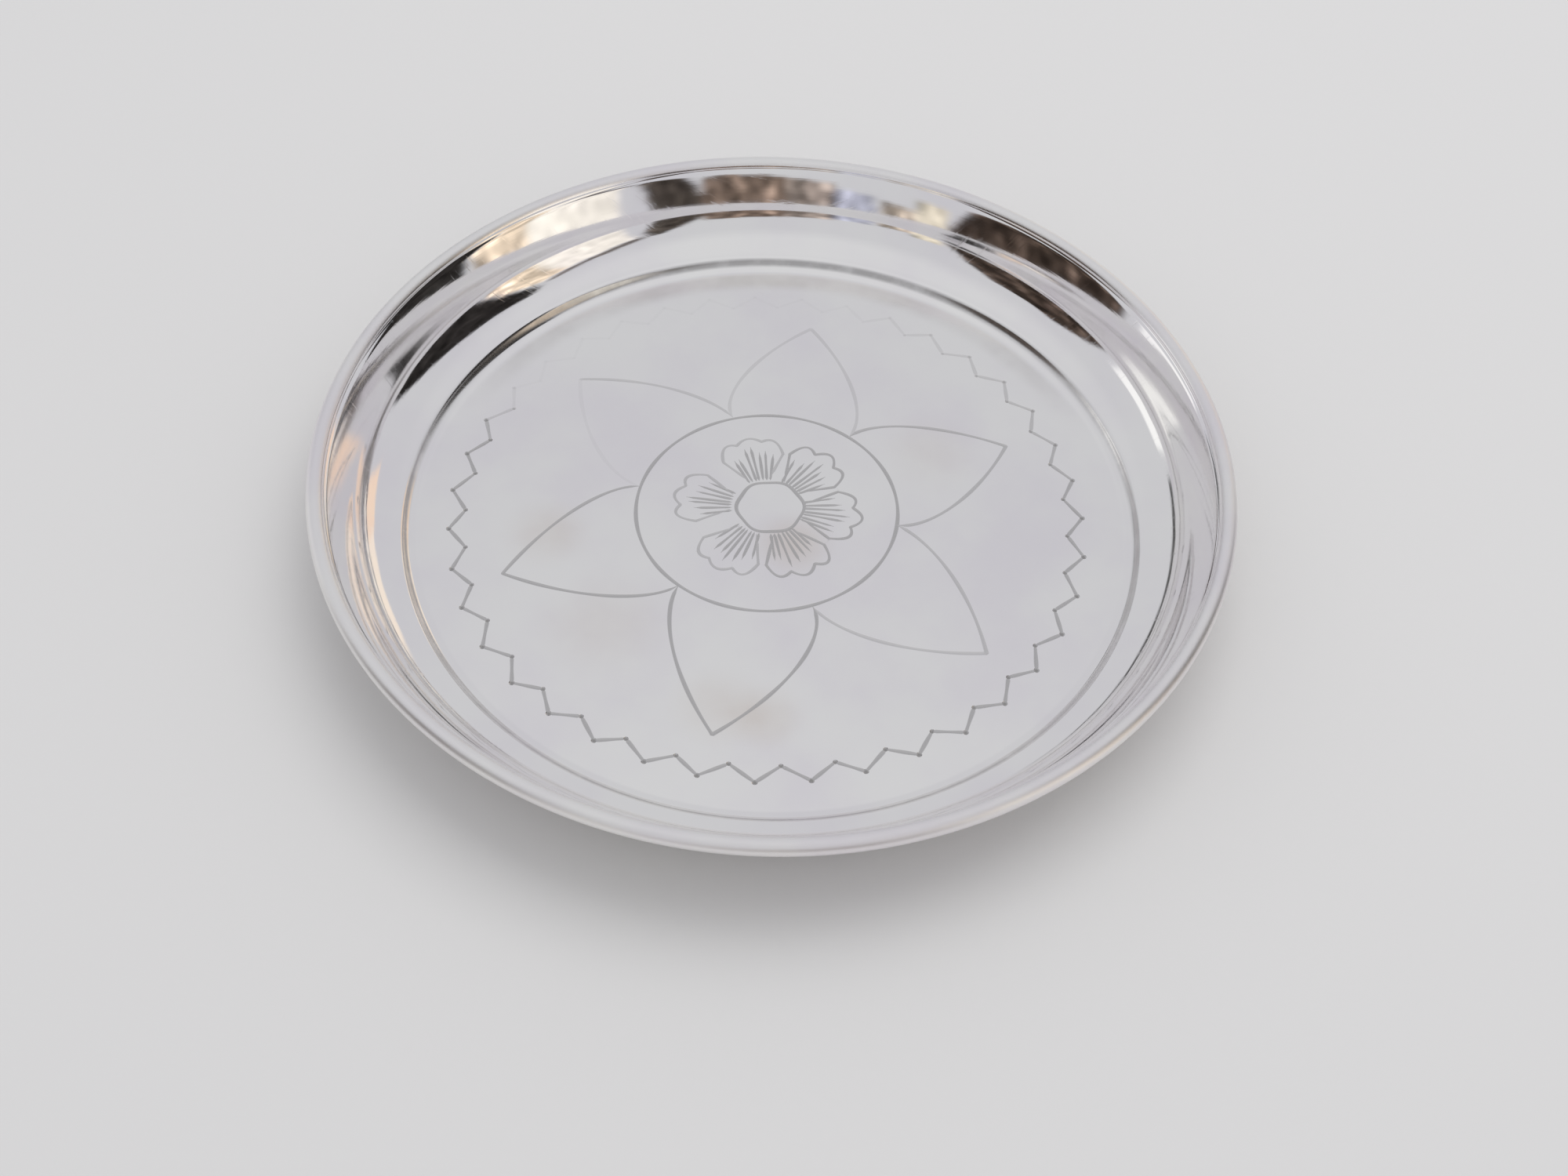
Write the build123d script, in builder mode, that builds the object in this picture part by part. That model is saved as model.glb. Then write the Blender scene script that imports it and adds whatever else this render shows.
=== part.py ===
from build123d import *
import os
from math import cos, degrees, radians, sin

# A round offering plate: one spun sheet with an engraved floor, its edge
# rolled outward over a round wire. Millimetres, +Z up. The origin is the
# centre of the flat underside.

# Sheet, and the profile of its upper face from the centre outward.
# Each angle is the slope at which one arc hands over to the next.
sheet = 0.6
floor_radius = 80.2
riser_radius = 3.6
riser_angle = 58.0
shoulder_radius = 2.0
shoulder_angle = 12.0
cove_radius = 12.7
wall_angle = 73.5
flare_radius = 38.0
flare_angle = 61.5
lip_radius = 3.0
lip_angle = 45.0
crease_radius = 1.2
crease_angle = 76.0
curl_sweep_angle = 316.0

# Rim wire, and the room the rolled edge leaves around it
wire_radius = 1.2
wire_clearance = 0.1
wire_butt_gap = 0.5
curl_inner_radius = wire_radius + wire_clearance
curl_outer_radius = curl_inner_radius + sheet

# Engraved lines
groove_depth = 0.12
line_width = 0.45
fine_line_width = 0.3

# Flower: a circle with pointed lotus petals standing on it, cut by hand a
# little off the middle of the floor
flower_shift_x = -1.2
flower_shift_y = 0.4
petal_count = 6
petal_pitch_angle = 360 / petal_count
circle_radius = 29.8
lotus_turn_angle = 21.0
lotus_tip_radius = 61.6
lotus_belly_reach = 32.5
lotus_belly_half_width = 17.9
lotus_neck_reach = 47.7
lotus_neck_half_width = 13.0

# Rosette inside the circle: a small disc with scalloped, hatched petals
# that point between the lotus petals
disc_radius = 7.7
rosette_turn_angle = lotus_turn_angle + petal_pitch_angle / 2
rosette_root_radius = 8.4
rosette_root_angle = 15.0
rosette_side_radius = 16.4
rosette_side_angle = 24.0
rosette_side_crest_radius = 20.3
rosette_side_crest_angle = 17.0
rosette_valley_radius = 19.0
rosette_valley_angle = 8.0
rosette_crest_radius = 21.6
hatch_count = 6
hatch_pitch_angle = 6.2
hatch_start_radius = 9.0
hatch_end_radius = 17.6
hatch_step = 0.7

# Zigzag border with a deep dot at each outer corner and a small one at each
# inner corner
border_shift_x = -1.05
border_shift_y = -0.95
tooth_count = 39
tooth_pitch_angle = 360 / tooth_count
tooth_turn_angle = 1.85
tooth_outer_radius = 72.4
tooth_inner_radius = 68.6
dot_radius = 0.5
small_dot_radius = 0.35
dot_depth = 0.18


def polar(radius, angle):
    """Point at a radius and an angle in degrees, in the plane of the floor."""
    return (radius * cos(radians(angle)), radius * sin(radians(angle)))


def petal_point(axis_angle, reach, offset):
    """Point at a reach along a petal's axis and an offset to one side of it."""
    along = polar(reach, axis_angle)
    aside = polar(offset, axis_angle + 90)
    return (along[0] + aside[0], along[1] + aside[1])


def zigzag():
    """Corners of the border, outer and inner by turns."""
    corners = []
    for tooth in range(tooth_count):
        angle = tooth_turn_angle + tooth * tooth_pitch_angle
        corners.append(polar(tooth_outer_radius, angle))
        corners.append(polar(tooth_inner_radius, angle + tooth_pitch_angle / 2))
    return corners


flower_plane = Plane((flower_shift_x, flower_shift_y, sheet))
border_plane = Plane((border_shift_x, border_shift_y, sheet))

with BuildPart() as dish:
    # The sheet, revolved from its upper and lower faces
    with BuildSketch(Plane.XZ):
        with BuildLine():
            floor_top = Line((0, sheet), (floor_radius, sheet))
            riser_top = JernArc(floor_top @ 1, floor_top % 1, riser_radius, riser_angle)
            shoulder_top = JernArc(
                riser_top @ 1, riser_top % 1, shoulder_radius, shoulder_angle - riser_angle
            )
            cove_top = JernArc(
                shoulder_top @ 1, shoulder_top % 1, cove_radius, wall_angle - shoulder_angle
            )
            flare_top = JernArc(cove_top @ 1, cove_top % 1, flare_radius, flare_angle - wall_angle)
            lip_top = JernArc(flare_top @ 1, flare_top % 1, lip_radius, lip_angle - flare_angle)
            crease_top = JernArc(lip_top @ 1, lip_top % 1, crease_radius, crease_angle - lip_angle)
            curl_top = JernArc(crease_top @ 1, crease_top % 1, curl_outer_radius, -curl_sweep_angle)
            floor_under = Line((0, 0), (floor_radius, 0))
            riser_under = JernArc(
                floor_under @ 1, floor_under % 1, riser_radius + sheet, riser_angle
            )
            shoulder_under = JernArc(
                riser_under @ 1,
                riser_under % 1,
                shoulder_radius - sheet,
                shoulder_angle - riser_angle,
            )
            cove_under = JernArc(
                shoulder_under @ 1,
                shoulder_under % 1,
                cove_radius + sheet,
                wall_angle - shoulder_angle,
            )
            flare_under = JernArc(
                cove_under @ 1, cove_under % 1, flare_radius - sheet, flare_angle - wall_angle
            )
            lip_under = JernArc(
                flare_under @ 1, flare_under % 1, lip_radius - sheet, lip_angle - flare_angle
            )
            crease_under = JernArc(
                lip_under @ 1, lip_under % 1, crease_radius + sheet, crease_angle - lip_angle
            )
            curl_under = JernArc(
                crease_under @ 1, crease_under % 1, curl_inner_radius, -curl_sweep_angle
            )
            Line(curl_top @ 1, curl_under @ 1)
            Line((0, 0), (0, sheet))
        make_face()
    revolve(axis=Axis.Z)
    # The circle and the lotus petals
    with BuildSketch(flower_plane):
        Circle(circle_radius + line_width / 2)
        Circle(circle_radius - line_width / 2, mode=Mode.SUBTRACT)
        for petal in range(petal_count):
            axis_angle = lotus_turn_angle + petal * petal_pitch_angle
            for side in (-1, 1):
                with BuildLine():
                    Bezier(
                        polar(circle_radius, axis_angle + side * petal_pitch_angle / 2),
                        petal_point(axis_angle, lotus_belly_reach, side * lotus_belly_half_width),
                        petal_point(axis_angle, lotus_neck_reach, side * lotus_neck_half_width),
                        polar(lotus_tip_radius, axis_angle),
                    )
                trace(line_width=line_width)
    extrude(amount=-groove_depth, mode=Mode.SUBTRACT)
    # The rosette
    with BuildSketch(flower_plane):
        Circle(disc_radius + line_width / 2)
        Circle(disc_radius - line_width / 2, mode=Mode.SUBTRACT)
        for petal in range(petal_count):
            axis_angle = rosette_turn_angle + petal * petal_pitch_angle
            for side in (-1, 1):
                with BuildLine():
                    root = polar(rosette_root_radius, axis_angle + side * rosette_root_angle)
                    outer = polar(rosette_side_radius, axis_angle + side * rosette_side_angle)
                    crest_angle = axis_angle + side * rosette_side_crest_angle
                    crest = polar(rosette_side_crest_radius, crest_angle)
                    valley = polar(rosette_valley_radius, axis_angle + side * rosette_valley_angle)
                    Line(root, outer)
                    ThreePointArc(outer, crest, valley)
                trace(line_width=fine_line_width)
            with BuildLine():
                ThreePointArc(
                    polar(rosette_valley_radius, axis_angle - rosette_valley_angle),
                    polar(rosette_crest_radius, axis_angle),
                    polar(rosette_valley_radius, axis_angle + rosette_valley_angle),
                )
            trace(line_width=fine_line_width)
            for hatch in range(hatch_count):
                place = hatch - (hatch_count - 1) / 2
                hatch_angle = axis_angle + place * hatch_pitch_angle
                hatch_tip_radius = hatch_end_radius - abs(place) * hatch_step
                with BuildLine():
                    Line(
                        polar(hatch_start_radius, hatch_angle),
                        polar(hatch_tip_radius, hatch_angle),
                    )
                trace(line_width=fine_line_width)
    extrude(amount=-groove_depth, mode=Mode.SUBTRACT)
    # The zigzag border and its dots
    with BuildSketch(border_plane):
        with BuildLine():
            Polyline(*zigzag(), close=True)
        trace(line_width=line_width)
    extrude(amount=-groove_depth, mode=Mode.SUBTRACT)
    with BuildSketch(border_plane):
        with PolarLocations(tooth_outer_radius, tooth_count, tooth_turn_angle):
            Circle(dot_radius)
        inner_turn_angle = tooth_turn_angle + tooth_pitch_angle / 2
        with PolarLocations(tooth_inner_radius, tooth_count, inner_turn_angle):
            Circle(small_dot_radius)
    extrude(amount=-dot_depth, mode=Mode.SUBTRACT)
dish.part.label = "dish"

# The wire lies in the middle of the rolled edge
rim_centre = curl_top.arc_center
with BuildPart() as rim_wire:
    with BuildSketch(Plane.XZ):
        with Locations((rim_centre.X, rim_centre.Y)):
            Circle(wire_radius)
    revolve(axis=Axis.Z, revolution_arc=360 - degrees(wire_butt_gap / rim_centre.X))
rim_wire.part.label = "rim_wire"

os.makedirs("parts", exist_ok=True)
export_step(dish.part, "parts/dish.step")
export_step(rim_wire.part, "parts/rim_wire.step")
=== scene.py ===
from math import ceil, cos, pi, radians, sin

import bpy
import numpy as np
from mathutils import Matrix, Vector
from mathutils.geometry import delaunay_2d_cdt

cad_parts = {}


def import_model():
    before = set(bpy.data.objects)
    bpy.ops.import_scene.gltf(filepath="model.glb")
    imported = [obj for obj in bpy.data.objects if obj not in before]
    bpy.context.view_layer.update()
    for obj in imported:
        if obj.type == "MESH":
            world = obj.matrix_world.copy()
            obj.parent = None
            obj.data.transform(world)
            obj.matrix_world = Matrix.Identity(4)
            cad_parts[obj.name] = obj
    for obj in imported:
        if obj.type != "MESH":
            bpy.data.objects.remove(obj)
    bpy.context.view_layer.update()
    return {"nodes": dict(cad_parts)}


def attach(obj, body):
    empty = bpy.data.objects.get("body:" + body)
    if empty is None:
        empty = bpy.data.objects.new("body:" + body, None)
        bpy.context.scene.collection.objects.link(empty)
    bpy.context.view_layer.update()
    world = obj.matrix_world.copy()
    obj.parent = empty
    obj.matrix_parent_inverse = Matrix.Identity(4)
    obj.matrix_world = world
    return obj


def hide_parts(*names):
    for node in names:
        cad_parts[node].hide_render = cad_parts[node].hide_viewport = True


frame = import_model()

# A round silver offering plate: the engraved dish as a mesh, the rim wire from the part, a plain
# studio and the camera. Lengths of the plate are in millimetres up to the point where a mesh is made.
MM = 0.001
seed = 11
hand = np.random.default_rng(seed)

# Profile of the sheet's upper face from the floor outward, as in the part's source. Each angle is
# the slope at which one arc hands over to the next.
sheet = 0.6
floor_radius = 80.2
riser_radius, riser_angle = 3.6, 58.0
shoulder_radius, shoulder_angle = 2.0, 12.0
part_cove_radius, part_wall_angle = 12.7, 73.5
part_flare_radius, flare_angle = 38.0, 61.5
lip_radius, lip_angle = 3.0, 45.0
crease_radius, crease_angle = 1.2, 76.0
curl_sweep_angle = 316.0
curl_inner_radius = 1.3
curl_outer_radius = curl_inner_radius + sheet
# The wall here is up to 0.2 mm beside the part's and less steep at its steepest, which brings its
# reflections to where the photograph has them
wall_angle = 70.5
# What polishing took off the bead
rim_polish = 0.04

# Rings of the lathe: the widest turn between two of them, coarser on the bead and the underside,
# the longest step, the steps round the sheet's own edge, and the segments of each ring
turn_step, coarse_turn_step = 4.0, 8.0
arc_step = 1.1
edge_steps = 5
segments = 400
# The engraved disc, the narrow ring that keeps the floor flat up to the riser, and the underside's rings
engraved_radius = 78.0
floor_edge = 0.25
under_rings = (20.0, 45.0, 66.0)

# Engraved lines: their size, the steps of the mesh along a cut, and how a cut swells and runs out
line_width, fine_line_width = 1.0, 0.85
line_depth, fine_line_depth = 0.11, 0.1
cut_step, fine_cut_step = 0.6, 0.4
least_curve_steps, least_line_steps = 4, 3
swell_share, swell_length = 0.16, 17.0
run_out_share = 0.2
lotus_taper, rosette_taper, tooth_taper = 2.5, 3.0, 1.0
hatch_taper_in, hatch_taper_out = 0.6, 1.6
# Share of a cut's half width that lies below the floor, and how far out the cut is looked for
sunk_share, search_share = 0.94, 1.1
# Triangles fill the whole disc, and points closer than the gap become one
fill_whole = 0
weld_gap = 0.0001

# Lotus: where each pair of petals springs from the circle, and each tip, as cut by hand
flower_centre = (-1.2, 0.4)
circle_radius = 29.8
circle_wobble = 0.3
petal_count = 6
root_degrees = (-6.4, 51.5, 107.5, 169.4, 230.9, 291.3)
tip_degrees = (21.9, 81.3, 139.8, 200.6, 261.3, 321.4)
tip_radii = (60.4, 60.7, 61.0, 62.0, 63.2, 62.3)
belly_reach, belly_half_width = 32.5, 17.9
neck_reach, neck_half_width = 47.7, 13.0
petal_wobble = 0.7
# How far the two sides of each petal swell beyond the common width
petal_swells = ((0.0, 0.0), (0.0, 0.0), (0.0, 0.0), (0.0, 0.0), (0.0, 2.3), (0.0, 0.0))
# How much of the cut is left on the two sides of each petal, where years of polishing wore it
petal_left_shares = ((0.8, 0.85), (0.4, 0.35), (0.55, 0.12), (0.95, 1.0), (1.0, 1.0), (0.6, 0.7))

# Rosette inside the circle: a disc with a slightly flat side for each scalloped, hatched petal
rosette_centre = (-1.2, 1.1)
disc_centre = (-0.5, 1.1)
disc_radius = 7.6
disc_flat_share = 0.03
disc_turn_angle = 5.0
rosette_degrees = (48.8, 104.0, 172.5, 240.0, 296.0, 353.3)
rosette_root_radius, rosette_root_angle = 8.6, 15.0
rosette_side_radius, rosette_side_angle = 17.0, 25.0
rosette_side_crest_radius, rosette_side_crest_angle = 20.7, 17.0
rosette_valley_radius, rosette_valley_angle = 20.0, 8.5
rosette_crest_radius = 21.7
rosette_left_shares = (1.0, 0.7, 0.75, 0.75, 0.95, 1.0)
rosette_wobble = 0.35
hatch_count = 7
hatch_pitch_angle = 6.0
hatch_start_radius, hatch_end_radius, hatch_step = 8.2, 18.4, 0.8
hatch_wobble = 0.9
hatch_turn_wobble = 1.0
hatch_width = 0.78

# Zigzag border
border_centre = (-1.05, -0.95)
tooth_count = 39
tooth_turn_angle = 1.85
tooth_outer_radius, tooth_inner_radius = 72.4, 68.6
tooth_wobble = 0.22
tooth_overrun = 0.35
dot_radius, small_dot_radius = 0.66, 0.56
dot_depth = 0.18
dot_sides = 12
# How strongly a dot is marked beside a stroke's 1
dot_mark = 2.0
# The stretch of the border that is almost worn away
worn_start_angle, worn_start_fade_angle = 75.0, 70.0
worn_end_angle, worn_end_fade_angle = 150.0, 14.0
worn_share = 0.05


def polar(radius, degrees, centre=(0.0, 0.0)):
    """Point at a radius and an angle in degrees about a centre."""
    turn = radians(degrees)
    return np.array((centre[0] + radius * cos(turn), centre[1] + radius * sin(turn)))


def tangent_arcs(start, arcs, turn, slope=0.0):
    """Points of arcs that run on from each other, each given by its radius and the slope at its end."""
    x, z = start
    points = []
    for radius, end in arcs:
        way = 1 if end > slope else -1
        length = radius * radians(abs(end - slope))
        count = max(ceil(abs(end - slope) / turn), ceil(length / arc_step))
        a = radians(slope)
        for k in range(1, count + 1):
            b = radians(slope + (end - slope) * k / count)
            out, up = sin(b) - sin(a), cos(a) - cos(b)
            points.append((x + way * radius * out, z + way * radius * up))
        x, z = points[-1]
        slope = end
    return points


def arc_reach(start, end):
    """How far out and up an arc of radius 1 goes between two slopes."""
    a, b = radians(start), radians(end)
    return np.array((abs(sin(b) - sin(a)), abs(cos(b) - cos(a))))


def wall_radii():
    """Radii of the cove and the flare that end where the part's wall ends."""
    part_cove = part_cove_radius * arc_reach(shoulder_angle, part_wall_angle)
    part_flare = part_flare_radius * arc_reach(part_wall_angle, flare_angle)
    cove, flare = arc_reach(shoulder_angle, wall_angle), arc_reach(wall_angle, flare_angle)
    return np.linalg.solve(np.column_stack((cove, flare)), part_cove + part_flare)


def sheet_profile():
    """The sheet's outline from the engraved disc, over the rim, to the underside's innermost ring."""
    cove_radius, flare_radius = wall_radii()
    curl_end_angle = crease_angle - curl_sweep_angle
    # Radius and end of each arc, and whether the sheet turns up or down in it
    bends = (
        (riser_radius, riser_angle, 1),
        (shoulder_radius, shoulder_angle, -1),
        (cove_radius, wall_angle, 1),
        (flare_radius, flare_angle, -1),
        (lip_radius, lip_angle, -1),
        (crease_radius, crease_angle, 1),
    )
    upper = [(r, sheet) for r in (engraved_radius, floor_radius - floor_edge, floor_radius)]
    upper += tangent_arcs(upper[-1], [(radius, end) for radius, end, way in bends], turn_step)
    curl = [(curl_outer_radius - rim_polish, curl_end_angle)]
    upper += tangent_arcs(upper[-1], curl, coarse_turn_step, crease_angle)
    under = [(r, 0.0) for r in (*under_rings, floor_radius - floor_edge, floor_radius)]
    arcs = [(radius + way * sheet, end) for radius, end, way in bends]
    arcs.append((curl_inner_radius, curl_end_angle))
    under += tangent_arcs(under[-1], arcs, coarse_turn_step)
    # The sheet's own edge at the end of the curl, rounded
    tip, root = np.array(upper[-1]), np.array(under[-1])
    middle, half = (tip + root) / 2, (tip - root) / 2
    onward = np.array((half[1], -half[0]))
    turns = [pi * k / edge_steps for k in range(1, edge_steps)]
    edge = [tuple(middle + half * cos(a) - onward * sin(a)) for a in turns]
    return upper + edge + under[::-1]


def shares_along(a, b, step, least):
    """Shares from 0 to 1 on the way from a to b, as a column."""
    count = max(least, ceil(np.linalg.norm(b - a) / step))
    return np.linspace(0, 1, count + 1)[:, None]


def cubic(a, b, c, d, step):
    """A cut from a to d that is drawn towards b and c."""
    t = shares_along(a, d, step, least_curve_steps)
    return (1 - t) ** 3 * a + 3 * (1 - t) ** 2 * t * b + 3 * (1 - t) * t**2 * c + t**3 * d


def bow(a, top, b, step):
    """A curved cut from a to b through top."""
    control = 2 * top - (a + b) / 2
    t = shares_along(a, b, step, least_curve_steps)
    return (1 - t) ** 2 * a + 2 * (1 - t) * t * control + t**2 * b


def straight(a, b, step):
    """A straight cut from a to b."""
    t = shares_along(a, b, step, least_line_steps)
    return (1 - t) * a + t * b


def ring(radius_at, centre, step):
    """A closed cut round a centre, whose radius may change with the angle."""
    count = ceil(2 * pi * radius_at(0.0) / step)
    turn = np.linspace(0, 360, count + 1)
    return np.array([polar(radius_at(a), a, centre) for a in turn])


def stray(size):
    """How far the hand strays, up to a size either way."""
    return hand.uniform(-size, size)


# Strokes as points, half widths, depths, the share that wear left and whether they close, and dots as
# centre, radius, the share left and outline
strokes = []
dots = []


def cut(points, width, depth, taper_in=0.0, taper_out=0.0, closed=False, left=1.0):
    """One stroke of the graver: it swells and thins a little and runs out over its tapers."""
    gaps = np.linalg.norm(np.diff(points, axis=0), axis=1)
    along = np.concatenate([[0.0], np.cumsum(gaps)])
    turns = max(1, round(along[-1] / swell_length))
    force = 1 + swell_share * np.sin(2 * pi * (turns * along / along[-1] + hand.random()))
    if taper_in:
        force *= np.clip(along / taper_in, run_out_share, 1)
    if taper_out:
        force *= np.clip((along[-1] - along) / taper_out, run_out_share, 1)
    strokes.append((points, width / 2 * force, depth * force * left, left, closed))


def engrave_lotus():
    """The circle and the pointed petals that stand on it."""
    phase = hand.uniform(0, 360)

    def circle_reach(angle):
        return circle_radius + circle_wobble * sin(radians(2 * angle + phase))

    cut(ring(circle_reach, flower_centre, cut_step), line_width, line_depth, closed=True)
    centre = np.array(flower_centre)
    for k in range(petal_count):
        axis = tip_degrees[k]
        tip = polar(tip_radii[k], axis, flower_centre)
        along, aside = polar(1, axis), polar(1, axis + 90)
        for side, root in ((-1, root_degrees[k]), (1, root_degrees[(k + 1) % petal_count])):
            start = polar(circle_radius, root, flower_centre)
            swell = petal_swells[k][(side + 1) // 2]
            belly_half = belly_half_width + swell + stray(petal_wobble)
            neck_half = neck_half_width + swell + stray(petal_wobble)
            belly = centre + (belly_reach * along + side * belly_half * aside)
            neck = centre + (neck_reach * along + side * neck_half * aside)
            left = petal_left_shares[k][(side + 1) // 2]
            path = cubic(start, belly, neck, tip, cut_step)
            cut(path, line_width, line_depth, taper_in=lotus_taper, left=left)


def disc_reach(angle):
    """Radius of the rosette's disc at an angle."""
    wave = cos(radians(petal_count * (angle - disc_turn_angle)))
    return disc_radius * (1 + disc_flat_share * wave)


def engrave_rosette():
    """The disc, and round it the petals with three scallops and a fan of hatching each."""
    cut(ring(disc_reach, disc_centre, fine_cut_step), line_width, line_depth, closed=True)
    for axis, left in zip(rosette_degrees, rosette_left_shares):
        valleys = {}
        for side in (-1, 1):
            root = polar(rosette_root_radius, axis + side * rosette_root_angle, rosette_centre)
            outer_radius = rosette_side_radius + stray(rosette_wobble)
            outer = polar(outer_radius, axis + side * rosette_side_angle, rosette_centre)
            crest_radius = rosette_side_crest_radius + stray(rosette_wobble)
            crest = polar(crest_radius, axis + side * rosette_side_crest_angle, rosette_centre)
            valley_radius = rosette_valley_radius + stray(rosette_wobble)
            valleys[side] = polar(valley_radius, axis + side * rosette_valley_angle, rosette_centre)
            side_line = straight(root, outer, fine_cut_step)
            cut(side_line, fine_line_width, fine_line_depth, taper_in=rosette_taper, left=left)
            scallop = bow(outer, crest, valleys[side], fine_cut_step)
            cut(scallop, fine_line_width, fine_line_depth, left=left)
        top = polar(rosette_crest_radius + stray(rosette_wobble), axis, rosette_centre)
        crown = bow(valleys[-1], top, valleys[1], fine_cut_step)
        cut(crown, fine_line_width, fine_line_depth, left=left)
        for k in range(hatch_count):
            place = k - (hatch_count - 1) / 2
            angle = axis + place * hatch_pitch_angle + stray(hatch_turn_wobble)
            reach = hatch_end_radius - abs(place) * hatch_step + stray(hatch_wobble)
            start = polar(hatch_start_radius, angle, rosette_centre)
            end = polar(reach, angle + stray(hatch_turn_wobble), rosette_centre)
            path = straight(start, end, fine_cut_step)
            cut(path, hatch_width, line_depth, taper_in=hatch_taper_in, taper_out=hatch_taper_out)


def border_left(angle):
    """Share of the border's cut that wear has left at an angle."""
    before = (worn_start_angle - angle) / worn_start_fade_angle
    after = (angle - worn_end_angle) / worn_end_fade_angle
    past = max(before, after)
    return worn_share + (1 - worn_share) * min(max(past, 0.0), 1.0)


def engrave_border():
    """The zigzag, one stroke to each side of a tooth, with a dot at each corner."""
    corners = []
    half_pitch = 180 / tooth_count
    for k in range(2 * tooth_count):
        radius = tooth_inner_radius if k % 2 else tooth_outer_radius
        point = polar(radius, tooth_turn_angle + k * half_pitch, border_centre)
        corners.append(point + np.array((stray(tooth_wobble), stray(tooth_wobble))))
    for k, a in enumerate(corners):
        b = corners[(k + 1) % len(corners)]
        left = border_left(tooth_turn_angle + (k + 0.5) * half_pitch)
        onward = (b - a) / np.linalg.norm(b - a) * tooth_overrun
        path = straight(a - onward, b + onward, cut_step)
        cut(path, line_width, line_depth, taper_in=tooth_taper, taper_out=tooth_taper, left=left)
        size = small_dot_radius if k % 2 else dot_radius
        turn = np.linspace(0, 2 * pi, dot_sides + 1)
        outline = a + size * np.column_stack((np.cos(turn), np.sin(turn)))
        dots.append((a, size, left, outline))


def cut_depths(points):
    """Each point's depth, how far into a stroke it lies, and the share of the stroke that wear left."""
    depth = np.zeros(len(points))
    inner = np.full(len(points), -1.0)
    kept = np.ones(len(points))

    def record(where, into, low, left):
        depth[where] = np.maximum(depth[where], low * np.clip(into, 0, 1))
        closer = into > inner[where]
        inner[where] = np.where(closer, into, inner[where])
        kept[where] = np.where(closer, left, kept[where])

    for path, half, deep, left, closed in strokes:
        reach = half.max() * search_share
        near = np.all((points > path.min(0) - reach) & (points < path.max(0) + reach), axis=1)
        where = np.nonzero(near)[0]
        if not len(where):
            continue
        a, b = path[:-1], path[1:]
        step = b - a
        away = points[where][:, None, :] - a[None]
        t = np.clip((away * step).sum(2) / (step * step).sum(1), 0, 1)
        gap = np.linalg.norm(away - t[..., None] * step, axis=2)
        wide = half[:-1] + t * np.diff(half)
        low = deep[:-1] + t * np.diff(deep)
        into = 1 - gap / (wide * sunk_share)
        best = into.argmax(1)
        rows = np.arange(len(where))
        record(where, into[rows, best], low[rows, best], left)
    for centre, size, left, outline in dots:
        gap = np.linalg.norm(points - centre, axis=1)
        where = np.nonzero(gap < size * search_share)[0]
        into = 1 - (gap[where] / (size * sunk_share)) ** 2
        record(where, into * dot_mark, dot_depth * left, left)
    return depth, np.clip(inner, 0, dot_mark), kept


def engraved_disc(border):
    """The engraved middle of the floor: points, depths, marks, triangles, and which are border points."""
    points, edges = [Vector(p) for p in border], []
    edges += [(k, (k + 1) % len(border)) for k in range(len(border))]

    def chain(line, closed):
        first = len(points)
        line = line[:-1] if closed else line
        points.extend(Vector(p) for p in line)
        edges.extend((first + k, first + k + 1) for k in range(len(line) - 1))
        if closed:
            edges.append((first + len(line) - 1, first))

    for path, half, deep, left, closed in strokes:
        along = np.gradient(path, axis=0)
        if closed:
            along[0] = along[-1] = path[1] - path[-2]
        along /= np.linalg.norm(along, axis=1)[:, None]
        aside = np.column_stack((-along[:, 1], along[:, 0])) * half[:, None]
        chain(path, closed)
        one, other = path + aside, path - aside
        if closed:
            chain(one, True)
            chain(other, True)
        else:
            head, tail = path[-1] + along[-1] * half[-1], path[0] - along[0] * half[0]
            chain(np.vstack((one, head, other[::-1], tail, one[:1])), True)
    for centre, size, left, outline in dots:
        points.append(Vector(centre))
        chain(outline, True)
    flat, _, faces, origins, _, _ = delaunay_2d_cdt(points, edges, [], fill_whole, weld_gap, True)
    flat = np.array([tuple(p) for p in flat])
    places = {}
    for k, source in enumerate(origins):
        for s in source:
            if s < len(border):
                places[k] = s
    return flat, *cut_depths(flat), [tuple(f) for f in faces], places


def new_object(name, vertices, faces):
    """A mesh object in the scene, with its vertices in metres."""
    mesh = bpy.data.meshes.new(name)
    mesh.from_pydata(vertices, [], faces)
    obj = bpy.data.objects.new(name, mesh)
    bpy.context.scene.collection.objects.link(obj)
    return obj


def lathe(profile, turns):
    """Vertices and faces of a profile turned round the axis, closed at the middle of the underside."""
    vertices = [(*polar(r, a), z) for r, z in profile for a in turns]
    faces = []
    for row in range(len(profile) - 1):
        low, high = row * segments, (row + 1) * segments
        for k in range(segments):
            j = (k + 1) % segments
            faces.append((low + k, high + k, high + j, low + j))
    last = (len(profile) - 1) * segments
    vertices.append((0.0, 0.0, 0.0))
    faces += [(last + k, len(vertices) - 1, last + (k + 1) % segments) for k in range(segments)]
    return vertices, faces


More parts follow.
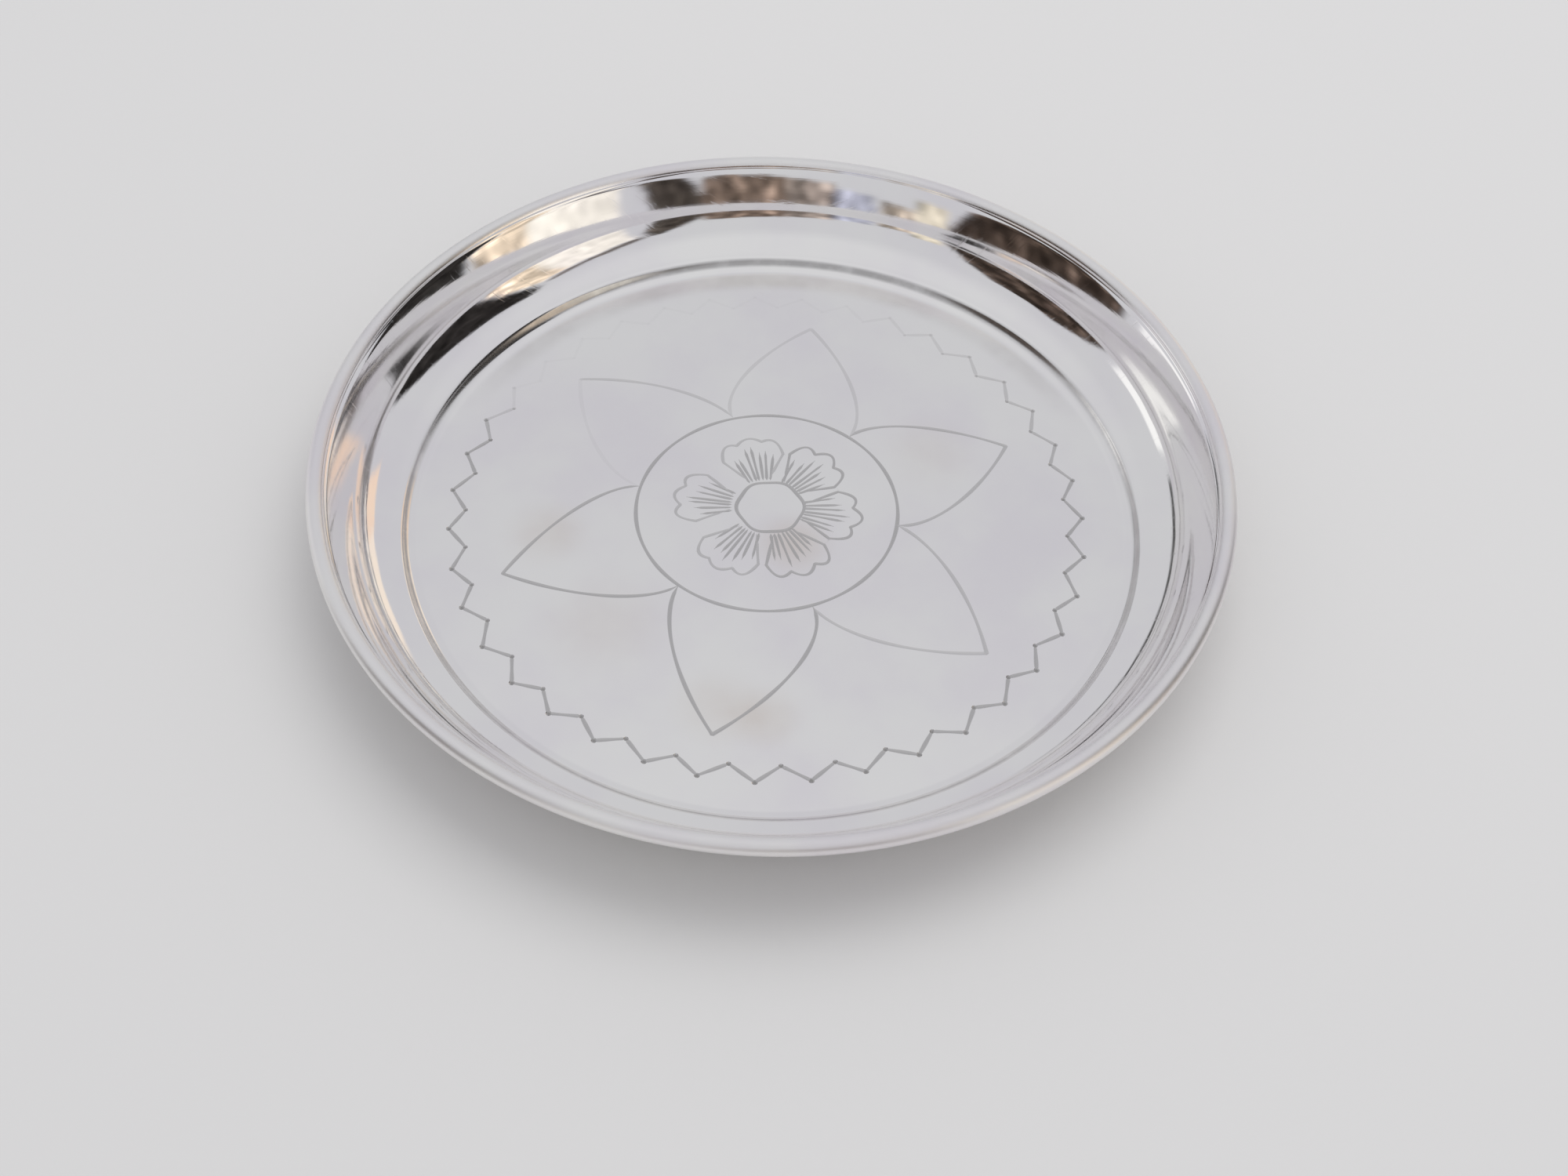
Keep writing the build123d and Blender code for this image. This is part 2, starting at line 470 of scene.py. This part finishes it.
def build_dish():
    """The dish: a lathe of the sheet, with the engraved disc sewn into its floor."""
    engrave_lotus()
    engrave_rosette()
    engrave_border()
    turns = [360 * k / segments for k in range(segments)]
    vertices, faces = lathe(sheet_profile(), turns)
    smooth = [True] * len(faces)
    border = [polar(engraved_radius, a) for a in turns]
    flat, depth, inner, kept, triangles, places = engraved_disc(border)
    marks = {"engraved": [0.0] * len(vertices), "kept": [1.0] * len(vertices)}
    index = {}
    for k, point in enumerate(flat):
        if k in places:
            index[k] = places[k]
        else:
            index[k] = len(vertices)
            vertices.append((point[0], point[1], sheet - depth[k]))
            marks["engraved"].append(inner[k])
            marks["kept"].append(kept[k])
    faces += [tuple(index[k] for k in f) for f in triangles]
    smooth += [False] * len(triangles)
    dish = new_object("engraved_dish", [tuple(v * MM for v in p) for p in vertices], faces)
    dish.data.polygons.foreach_set("use_smooth", smooth)
    dish.data.validate()
    dish.data.update()
    for name, values in marks.items():
        mark = dish.data.attributes.new(name, "FLOAT", "POINT")
        mark.data.foreach_set("value", np.array(values, np.float32))
    return dish


class Shader:
    """Short ways to add nodes to one material."""

    # Places of the colours and of the blended colour among a Mix node's sockets
    colour_a, colour_b, colour_out = 6, 7, 2

    def __init__(self, name):
        self.material = bpy.data.materials.new(name)
        self.material.use_nodes = True
        self.nodes = self.material.node_tree.nodes
        self.links = self.material.node_tree.links
        self.surface = self.nodes["Principled BSDF"]

    def feed(self, socket, source):
        """Link a node's output to a socket, or set the socket to a plain value."""
        if hasattr(source, "is_output"):
            self.links.new(source, socket)
        else:
            socket.default_value = source

    def add(self, kind, **settings):
        node = self.nodes.new(kind)
        for key, value in settings.items():
            setattr(node, key, value)
        return node

    def place(self):
        return self.add("ShaderNodeTexCoord").outputs["Object"]

    def attribute(self, name):
        return self.add("ShaderNodeAttribute", attribute_name=name).outputs["Fac"]

    def math(self, operation, a, b=0.0):
        node = self.add("ShaderNodeMath", operation=operation)
        self.feed(node.inputs[0], a)
        self.feed(node.inputs[1], b)
        return node.outputs[0]

    def gather(self, operation, values):
        """All values put together by one operation."""
        total = values[0]
        for value in values[1:]:
            total = self.math(operation, total, value)
        return total

    def ramp(self, source, low, high, to_low=0.0, to_high=1.0):
        node = self.add("ShaderNodeMapRange", interpolation_type="SMOOTHSTEP")
        for socket, value in zip(node.inputs, (source, low, high, to_low, to_high)):
            self.feed(socket, value)
        return node.outputs[0]

    def fade(self, length, ends, to_low=0.0, to_high=1.0):
        """A ramp over a length whose two ends are in millimetres."""
        return self.ramp(length, ends[0] * MM, ends[1] * MM, to_low, to_high)

    def noise(self, place, scale, detail, roughness=0.55, turn=0.0, stretch=None):
        if stretch:
            mapping = self.add("ShaderNodeMapping")
            self.links.new(place, mapping.inputs["Vector"])
            mapping.inputs["Rotation"].default_value = (0, 0, radians(turn))
            mapping.inputs["Scale"].default_value = stretch
            place = mapping.outputs["Vector"]
        node = self.add("ShaderNodeTexNoise")
        self.links.new(place, node.inputs["Vector"])
        node.inputs["Scale"].default_value = scale
        node.inputs["Detail"].default_value = detail
        node.inputs["Roughness"].default_value = roughness
        return node.outputs["Fac"]

    def noise_along(self, value, scale, detail):
        node = self.add("ShaderNodeTexNoise", noise_dimensions="1D")
        self.links.new(value, node.inputs["W"])
        node.inputs["Scale"].default_value = scale
        node.inputs["Detail"].default_value = detail
        return node.outputs["Fac"]

    def mix(self, share, a, b):
        """From the value a to the value b."""
        node = self.add("ShaderNodeMix", data_type="FLOAT")
        self.feed(node.inputs["Factor"], share)
        self.feed(node.inputs["A"], a)
        self.feed(node.inputs["B"], b)
        return node.outputs["Result"]

    def blend(self, share, a, b):
        """From the colour a to the colour b."""
        node = self.add("ShaderNodeMix", data_type="RGBA")
        self.feed(node.inputs["Factor"], share)
        self.feed(node.inputs[self.colour_a], (*a, 1.0) if isinstance(a, tuple) else a)
        self.feed(node.inputs[self.colour_b], (*b, 1.0) if isinstance(b, tuple) else b)
        return node.outputs[self.colour_out]

    def bump(self, height, strength, distance, under=None):
        """Relief of a height in millimetres, on top of another one."""
        node = self.add("ShaderNodeBump")
        self.links.new(height, node.inputs["Height"])
        node.inputs["Strength"].default_value = strength
        node.inputs["Distance"].default_value = distance * MM
        if under is not None:
            self.links.new(under, node.inputs["Normal"])
        return node.outputs["Normal"]

    def reaches(self, place):
        """Distance from the axis, then to the right, to the far side and up."""
        parts = self.add("ShaderNodeSeparateXYZ")
        self.links.new(place, parts.inputs[0])
        flat = self.add("ShaderNodeCombineXYZ")
        self.links.new(parts.outputs["X"], flat.inputs["X"])
        self.links.new(parts.outputs["Y"], flat.inputs["Y"])
        length = self.add("ShaderNodeVectorMath", operation="LENGTH")
        self.links.new(flat.outputs[0], length.inputs[0])
        return length.outputs["Value"], parts.outputs["X"], parts.outputs["Y"], parts.outputs["Z"]

    def gap_to(self, place, point):
        node = self.add("ShaderNodeVectorMath", operation="DISTANCE")
        self.links.new(place, node.inputs[0])
        node.inputs[1].default_value = point
        return node.outputs["Value"]


# Colours of the silver
silver_colour = (0.93, 0.92, 0.905)
clouded_colour = (0.868, 0.835, 0.868)
tarnish_colour = (0.77, 0.695, 0.63)
# Grey of the painted reflection on the far edge of the floor
far_edge_reflection_colour = (0.74, 0.72, 0.7)
# Grey of the painted shade along the foot of the wall
foot_shade_colour = (0.5, 0.49, 0.48)
patina_colour = (0.52, 0.51, 0.505)
dot_colour = (0.38, 0.37, 0.36)
patina_share = 0.85
# Warm spots of tarnish on the floor: place and radius in millimetres, and strength
tarnish_spots = (
    (-10.0, -55.0, 12.0, 0.9),
    (0.0, -57.0, 10.0, 0.8),
    (-36.0, -34.0, 18.0, 0.35),
    (-51.0, -9.5, 12.0, 0.7),
    (5.0, -9.5, 11.0, 0.7),
    (36.0, 19.0, 15.0, 0.3),
)
# Noise: scale for a metre, detail and, where it isn't the usual one, roughness
cloud_noise = (26.0, 4.0)
fine_cloud_noise = (160.0, 3.0)
dent_noise = (38.0, 2.0)
spin_noise = (2600.0, 3.0)
scratch_noise = (60.0, 4.0, 0.7)
scratch_turn_degrees = (17.0, 74.0, 131.0)
scratch_stretch = (1.0, 22.0, 1.0)
# Fades: their two ends in millimetres from the axis, above the underside, to the far side or to the
# right
floor_fade = (74.0, 79.0)
bead_fade = (97.9, 98.4)
upper_face_fade = (0.15, 0.35)
# The painted reflection on the floor's far edge: its band of radii, and how it grows towards the far side
far_edge_reflection_inner_fade, far_edge_reflection_outer_fade, far_edge_reflection_far_fade = (73.5, 77.5), (79.2, 80.8), (25.0, 62.0)
# The painted shade along the foot of the wall: its band of radii, how it grows to the far side and how it
# weakens to the right
foot_shade_inner_fade, foot_shade_outer_fade = (82.0, 82.9), (83.2, 84.0)
foot_shade_far_fade, foot_shade_far_share = (20.0, 75.0), 0.3
foot_shade_right_fade, foot_shade_right_share = (30.0, 80.0), 0.75
# Ramps: two values of a noise or a mark, and what they become
cloud_ramp = (0.35, 0.7, 0.0, 0.8)
stain_ramp = (0.3, 0.62, 0.3, 0.9)
# Mottling of the painted reflection on the floor's far edge
far_edge_reflection_ramp = (0.35, 0.6, 0.3, 1.0)
# Mottling of the painted shade along the foot of the wall
foot_shade_ramp = (0.3, 0.6, 0.35, 0.65)
cut_ramp = (0.0, 0.35, 0.0, 1.0)
dot_ramp = (0.9, 1.6, 0.0, 1.0)
scratch_ramp = (0.6, 0.78, 0.0, 1.0)
satin_ramp = (0.3, 0.75, 0.1, 0.15)
mirror_ramp = (0.3, 0.75, 0.05, 0.085)
# Roughness on top of the satin or the mirror
scratch_roughness = 0.05
underside_roughness = 0.08
cut_roughness = 0.2
bead_roughness = 0.38
# Extra roughness along the foot of the wall, under the painted shade
crease_roughness = 0.16
# Bumps: strength, and height in millimetres
dent_bump = (0.35, 0.12)
spin_bump = (0.12, 0.03)
scratch_bump = (0.2, 0.02)


def tarnish_mask(s, place):
    """Where the floor is tarnished."""
    spots = []
    for x, y, size, strength in tarnish_spots:
        gap = s.gap_to(place, (x * MM, y * MM, sheet * MM))
        spots.append(s.fade(gap, (0.0, size), strength, 0.0))
    return s.gather("ADD", spots)


def scratch_mask(s, place):
    """Scratches of wiping, in a few directions."""
    streaks = []
    for turn in scratch_turn_degrees:
        streak = s.noise(place, *scratch_noise, turn=turn, stretch=scratch_stretch)
        streaks.append(s.ramp(streak, *scratch_ramp))
    return s.gather("MAXIMUM", streaks)


def silver_material():
    """Polished silver: clouded and tarnished a little, with patina in the cuts, painted shade at the
    wall's foot and a painted reflection on the floor's far edge.
    """
    s = Shader("polished_silver")
    place = s.place()
    radius, across, depth, height = s.reaches(place)
    clouds = s.noise(place, *cloud_noise)
    fine_clouds = s.noise(place, *fine_cloud_noise)
    scratches = scratch_mask(s, place)
    engraved, kept = s.attribute("engraved"), s.attribute("kept")
    cuts = s.math("MULTIPLY", s.ramp(engraved, *cut_ramp), kept)
    dot_marks = s.math("MULTIPLY", s.ramp(engraved, *dot_ramp), kept)

    tint = s.blend(s.ramp(clouds, *cloud_ramp), silver_colour, clouded_colour)
    stain = (tarnish_mask(s, place), s.ramp(clouds, *stain_ramp), s.fade(height, upper_face_fade))
    tint = s.blend(s.gather("MULTIPLY", stain), tint, tarnish_colour)
    # Painted reflection: a grey crescent on the far edge of the floor, mottled by the clouds
    far_edge_reflection = (
        s.fade(radius, far_edge_reflection_inner_fade),
        s.fade(radius, far_edge_reflection_outer_fade, 1.0, 0.0),
        s.fade(depth, far_edge_reflection_far_fade),
        s.ramp(clouds, *far_edge_reflection_ramp),
    )
    tint = s.blend(s.gather("MULTIPLY", far_edge_reflection), tint, far_edge_reflection_colour)
    # Painted shade along the foot of the wall, mottled by fine clouds, stronger on the far side and
    # weaker on the right
    foot = (s.fade(radius, foot_shade_inner_fade), s.fade(radius, foot_shade_outer_fade, 1.0, 0.0))
    crease = s.gather("MULTIPLY", foot)
    foot_shade = (s.ramp(fine_clouds, *foot_shade_ramp), s.fade(depth, foot_shade_far_fade, 0.0, foot_shade_far_share))
    foot_shade = (s.gather("ADD", foot_shade), s.fade(across, foot_shade_right_fade, 1.0, foot_shade_right_share), crease)
    tint = s.blend(s.gather("MULTIPLY", foot_shade), tint, foot_shade_colour)
    tint = s.blend(s.math("MULTIPLY", cuts, patina_share), tint, patina_colour)
    tint = s.blend(dot_marks, tint, dot_colour)
    s.links.new(tint, s.surface.inputs["Base Color"])
    s.surface.inputs["Metallic"].default_value = 1.0

    # Satin floor, mirror wall
    satin, mirror = s.ramp(clouds, *satin_ramp), s.ramp(fine_clouds, *mirror_ramp)
    rough = s.mix(s.fade(radius, floor_fade, 1.0, 0.0), mirror, satin)
    for mask, more in (
        (scratches, scratch_roughness),
        (s.fade(height, upper_face_fade, 1.0, 0.0), underside_roughness),
        (cuts, cut_roughness),
        (s.fade(radius, bead_fade), bead_roughness),
        (crease, crease_roughness),
    ):
        rough = s.math("ADD", rough, s.math("MULTIPLY", mask, more))
    s.links.new(rough, s.surface.inputs["Roughness"])

    # A slight unevenness, spinning marks round the axis and the scratches
    normal = s.bump(s.noise(place, *dent_noise), *dent_bump)
    normal = s.bump(s.noise_along(radius, *spin_noise), *spin_bump, normal)
    normal = s.bump(scratches, *scratch_bump, normal)
    s.links.new(normal, s.surface.inputs["Normal"])
    return s.material


# Wire: colours, noise, ramps and bump in the same forms
wire_colour, wire_mark_colour = (0.86, 0.85, 0.82), (0.62, 0.58, 0.53)
wire_noise = (900.0, 4.0, 0.7)
wire_mark_ramp = (0.35, 0.7, 0.0, 1.0)
wire_roughness_ramp = (0.3, 0.8, 0.28, 0.5)
wire_bump = (0.3, 0.04)


def wire_material():
    """Drawn wire, unpolished, with fine darker marks."""
    s = Shader("drawn_silver_wire")
    marks = s.noise(s.place(), *wire_noise)
    tint = s.blend(s.ramp(marks, *wire_mark_ramp), wire_colour, wire_mark_colour)
    s.links.new(tint, s.surface.inputs["Base Color"])
    s.surface.inputs["Metallic"].default_value = 1.0
    s.links.new(s.ramp(marks, *wire_roughness_ramp), s.surface.inputs["Roughness"])
    s.links.new(s.bump(marks, *wire_bump), s.surface.inputs["Normal"])
    return s.material


dish = build_dish()
dish.data.materials.append(silver_material())
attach(dish, "root")
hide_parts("dish")

wire = frame["nodes"]["rim_wire"]
wire.data.materials.clear()
wire.data.materials.append(wire_material())

# Studio, in metres: a pale table, an even world, a lamp, and a dome of cards whose dark and light
# tones show in the polished wall
table_reach, table_drop = 6.0, 0.0001
table_colour = (0.8, 0.79, 0.775)
table_roughness, table_shine = 0.9, 0.1
world_colour = (0.66, 0.665, 0.69)
backdrop_colour = (0.53, 0.53, 0.535)
lamp_width, lamp_depth, lamp_power = 1.4, 1.2, 7.0
lamp_place = (0.35, 0.5, 1.5)
dome_radius = 1.5
dome_foot_angle, dome_top_angle, dome_step_angle = 0.5, 90.0, 1.0
# Tones of the dome up to one elevation in degrees, and from another
wall_tone, wall_top_angle = (0.63, 0.635, 0.66), 48.0
ceiling_tone, ceiling_start_angle = (0.7, 0.705, 0.725), 70.0
# Cards on the dome: corners as compass angle and elevation, tone, and how streaky they are
cards = (
    # The darkest one, on the right
    (
        ((349, 44), (353, 52), (362, 56), (373, 44), (381, 26), (385, 12), (387, 0), (354, 0), (351, 15)),
        (0.022, 0.02, 0.019),
        0.5,
    ),
    # The dark one on the left
    (
        ((178, 0), (179, 9), (182, 25), (187, 37), (208, 38), (219, 27), (226, 9), (229, 0)),
        (0.05, 0.036, 0.029),
        0.7,
    ),
    # Behind the viewer, from left to right
    (((229, 0), (229, 14), (237, 15), (237, 0)), (0.72, 0.66, 0.53), 0.3),
    (((237, 0), (237, 9), (246, 11), (246, 0)), (0.34, 0.29, 0.24), 0.5),
    (((246, 0), (248, 13), (258, 14), (257, 0)), (0.42, 0.43, 0.52), 0.4),
    (((257, 0), (258, 17), (270, 18), (270, 0)), (0.3, 0.25, 0.22), 0.55),
    (((270, 0), (270, 19), (286, 21), (291, 19), (290, 0)), (0.17, 0.125, 0.1), 0.6),
    (
        ((289, 0), (292, 15), (298, 28), (304, 36), (308, 37), (308, 28), (305, 15), (303, 0)),
        (0.06, 0.05, 0.042),
        0.5,
    ),
    (((309, 38), (322, 46), (347, 51), (347, 48), (324, 42), (310, 33)), (0.14, 0.12, 0.11), 0.3),
    (((312, 0), (312, 33), (325, 41), (336, 43), (336, 0)), (1.0, 0.95, 0.86), 0.12),
    (((336, 0), (336, 43), (346, 45), (349, 30), (351, 0)), (0.8, 0.66, 0.51), 0.45),
    # On the far side: a lamp low on the left, a dark strip beside it, and warm light on the right
    (((150, 2), (150, 17), (172, 17), (173, 2)), (1.0, 1.0, 1.0), 0.0),
    (((98, 7), (114, 11), (142, 12), (144, 7), (114, 5)), (0.1, 0.1, 0.1), 0.2),
    (((42, 4), (43, 22), (54, 21), (55, 4)), (0.95, 0.75, 0.59), 0.0),
    (((55, 4), (54, 18), (69, 17), (72, 4)), (0.98, 0.87, 0.74), 0.0),
)
# Rounds of blur: of the cards' edges, and of their speckle into upright streaks
soft_rounds = 1
streak_rounds = 8


def stage_object(name, vertices, faces, material):
    """An object of the studio, with its vertices in metres."""
    obj = new_object(name, vertices, faces)
    obj.data.materials.append(material)
    return obj


def inside(outline, angle, rise):
    """Whether a direction lies in an outline of (compass angle, elevation) corners."""
    hits = False
    for k, (a0, e0) in enumerate(outline):
        a1, e1 = outline[k - 1]
        if (e0 > rise) != (e1 > rise) and angle < a0 + (a1 - a0) * (rise - e0) / (e1 - e0):
            hits = not hits
    return hits


def surround_tone(angle, rise, speckle):
    """What the polished metal sees in a direction: the pale studio, or the first card there."""
    for outline, tone, unevenness in cards:
        for turn in (0.0, 360.0):
            if inside(outline, angle + turn, rise):
                return np.array(tone) * np.exp(unevenness * speckle)
    share = (rise - wall_top_angle) / (ceiling_start_angle - wall_top_angle)
    share = min(max(share, 0.0), 1.0)
    return np.array(wall_tone) * (1 - share) + np.array(ceiling_tone) * share


def soften(grid, axis):
    """One round of blur along an axis; the elevations stop at their ends, the compass runs round."""
    if axis == 1:
        before, after = np.roll(grid, 1, 1), np.roll(grid, -1, 1)
    else:
        before = np.concatenate([grid[:1], grid[:-1]])
        after = np.concatenate([grid[1:], grid[-1:]])
    return (before + 2 * grid + after) / 4


def surround_tones(rises, angles):
    """Tones of the dome's corners, a row for each elevation."""
    speckle = hand.normal(0, 1, (len(rises), len(angles)))
    for _ in range(streak_rounds):
        speckle = soften(speckle, 0)
    speckle /= speckle.std()
    rows = []
    for row, rise in enumerate(rises):
        rows.append([surround_tone(angle, rise, speckle[row, k]) for k, angle in enumerate(angles)])
    grid = np.array(rows)
    for _ in range(soft_rounds):
        grid = soften(soften(grid, 1), 0)
    return grid


def surround_material():
    """A glow in the tone of the dome's corners, which lights nothing by itself."""
    material = bpy.data.materials.new("surround")
    material.use_nodes = True
    material.cycles.emission_sampling = "NONE"
    nodes, links = material.node_tree.nodes, material.node_tree.links
    nodes.clear()
    output = nodes.new("ShaderNodeOutputMaterial")
    light = nodes.new("ShaderNodeEmission")
    tone = nodes.new("ShaderNodeAttribute")
    tone.attribute_name = "tone"
    links.new(tone.outputs["Color"], light.inputs["Color"])
    links.new(light.outputs[0], output.inputs["Surface"])
    return material


def build_surround():
    """The dome, which only reflections see."""
    rises = np.arange(dome_foot_angle, dome_top_angle, dome_step_angle)
    angles = np.arange(0, 360, dome_step_angle)
    grid = surround_tones(rises, angles)
    tones = [(*tone, 1.0) for tone in grid.reshape(-1, 3)] + [(*ceiling_tone, 1.0)]
    vertices = []
    for rise in rises:
        reach, up = dome_radius * cos(radians(rise)), dome_radius * sin(radians(rise))
        vertices += [(*polar(reach, angle), up) for angle in angles]
    vertices.append((0.0, 0.0, dome_radius))
    count = len(angles)
    faces = []
    for row in range(len(rises) - 1):
        low, high = row * count, (row + 1) * count
        for k in range(count):
            j = (k + 1) % count
            faces.append((low + k, low + j, high + j, high + k))
    last = (len(rises) - 1) * count
    faces += [(last + k, last + (k + 1) % count, len(vertices) - 1) for k in range(count)]
    dome = stage_object("surround", vertices, faces, surround_material())
    mark = dome.data.attributes.new("tone", "FLOAT_COLOR", "POINT")
    mark.data.foreach_set("color", np.array(tones, np.float32).ravel())
    dome.visible_camera = False
    dome.visible_diffuse = False
    dome.visible_shadow = False
    dome.visible_transmission = False
    dome.visible_volume_scatter = False


def build_table():
    """The plain pale floor under the plate."""
    material = bpy.data.materials.new("pale_table")
    material.use_nodes = True
    surface = material.node_tree.nodes["Principled BSDF"]
    surface.inputs["Base Color"].default_value = (*table_colour, 1.0)
    surface.inputs["Roughness"].default_value = table_roughness
    surface.inputs["Specular IOR Level"].default_value = table_shine
    sides = ((-1, -1), (1, -1), (1, 1), (-1, 1))
    corners = [(x * table_reach, y * table_reach, -table_drop) for x, y in sides]
    stage_object("table", corners, [(0, 1, 2, 3)], material)


def light_world():
    """An even world; what is seen of it above the table has the tone of the table's far end."""
    world = bpy.data.worlds.new("studio")
    bpy.context.scene.world = world
    world.use_nodes = True
    nodes, links = world.node_tree.nodes, world.node_tree.links
    light = nodes["Background"]
    light.inputs["Color"].default_value = (*world_colour, 1.0)
    seen = nodes.new("ShaderNodeBackground")
    seen.inputs["Color"].default_value = (*backdrop_colour, 1.0)
    path = nodes.new("ShaderNodeLightPath")
    either = nodes.new("ShaderNodeMath")
    either.operation = "MAXIMUM"
    links.new(path.outputs["Is Camera Ray"], either.inputs[0])
    links.new(path.outputs["Is Glossy Ray"], either.inputs[1])
    mix = nodes.new("ShaderNodeMixShader")
    links.new(either.outputs[0], mix.inputs["Fac"])
    links.new(light.outputs[0], mix.inputs[1])
    links.new(seen.outputs[0], mix.inputs[2])
    links.new(mix.outputs[0], nodes["World Output"].inputs["Surface"])


def hang_lamp():
    """A broad soft lamp overhead, which isn't seen in the metal."""
    lamp = bpy.data.lights.new("overhead", "AREA")
    lamp.shape = "RECTANGLE"
    lamp.size, lamp.size_y = lamp_width, lamp_depth
    lamp.energy = lamp_power
    obj = bpy.data.objects.new("overhead", lamp)
    obj.location = lamp_place
    obj.rotation_mode = "QUATERNION"
    obj.rotation_quaternion = Vector(lamp_place).to_track_quat("Z", "Y")
    obj.visible_glossy = False
    bpy.context.scene.collection.objects.link(obj)


# Camera, fitted to the photograph's circles: its distance in millimetres, its clipping in metres
picture_width = 2000
sensor_width = 36.0
focal_pixels = 2300.0
camera_distance = 413.82
camera_elevation_angle = 49.123
camera_pitch_angle, camera_yaw_angle, camera_roll_angle = 2.446, -0.4635, 2.1638
clip_start, clip_end = 0.01, 50.0


def camera_turn():
    """Turn of a camera whose axes are right, down and forward."""
    roll = Matrix.Rotation(radians(camera_roll_angle), 3, "Z")
    pitch = Matrix.Rotation(radians(camera_pitch_angle), 3, "X")
    yaw = Matrix.Rotation(radians(camera_yaw_angle), 3, "Y")
    return np.array(roll @ pitch @ yaw)


def place_camera():
    """The camera at the photograph's viewing angle, aimed near the middle of the floor."""
    elevation = radians(camera_elevation_angle)
    away = np.array((0.0, -cos(elevation), sin(elevation)))
    forward, right = -away, np.array((1.0, 0.0, 0.0))
    up = np.cross(right, forward)
    axes = camera_turn() @ np.stack([right, -up, forward])
    camera = bpy.data.cameras.new("photo_camera")
    camera.sensor_width = sensor_width
    camera.lens = sensor_width * focal_pixels / picture_width
    camera.clip_start, camera.clip_end = clip_start, clip_end
    obj = bpy.data.objects.new("photo_camera", camera)
    place = np.eye(4)
    place[:3, 0], place[:3, 1], place[:3, 2] = axes[0], -axes[1], -axes[2]
    place[:3, 3] = away * camera_distance * MM + np.array((0.0, 0.0, sheet * MM))
    obj.matrix_world = Matrix(place.tolist())
    bpy.context.scene.collection.objects.link(obj)
    bpy.context.scene.camera = obj


build_table()
light_world()
build_surround()
hang_lamp()
place_camera()
bpy.context.scene.view_settings.view_transform = "Standard"
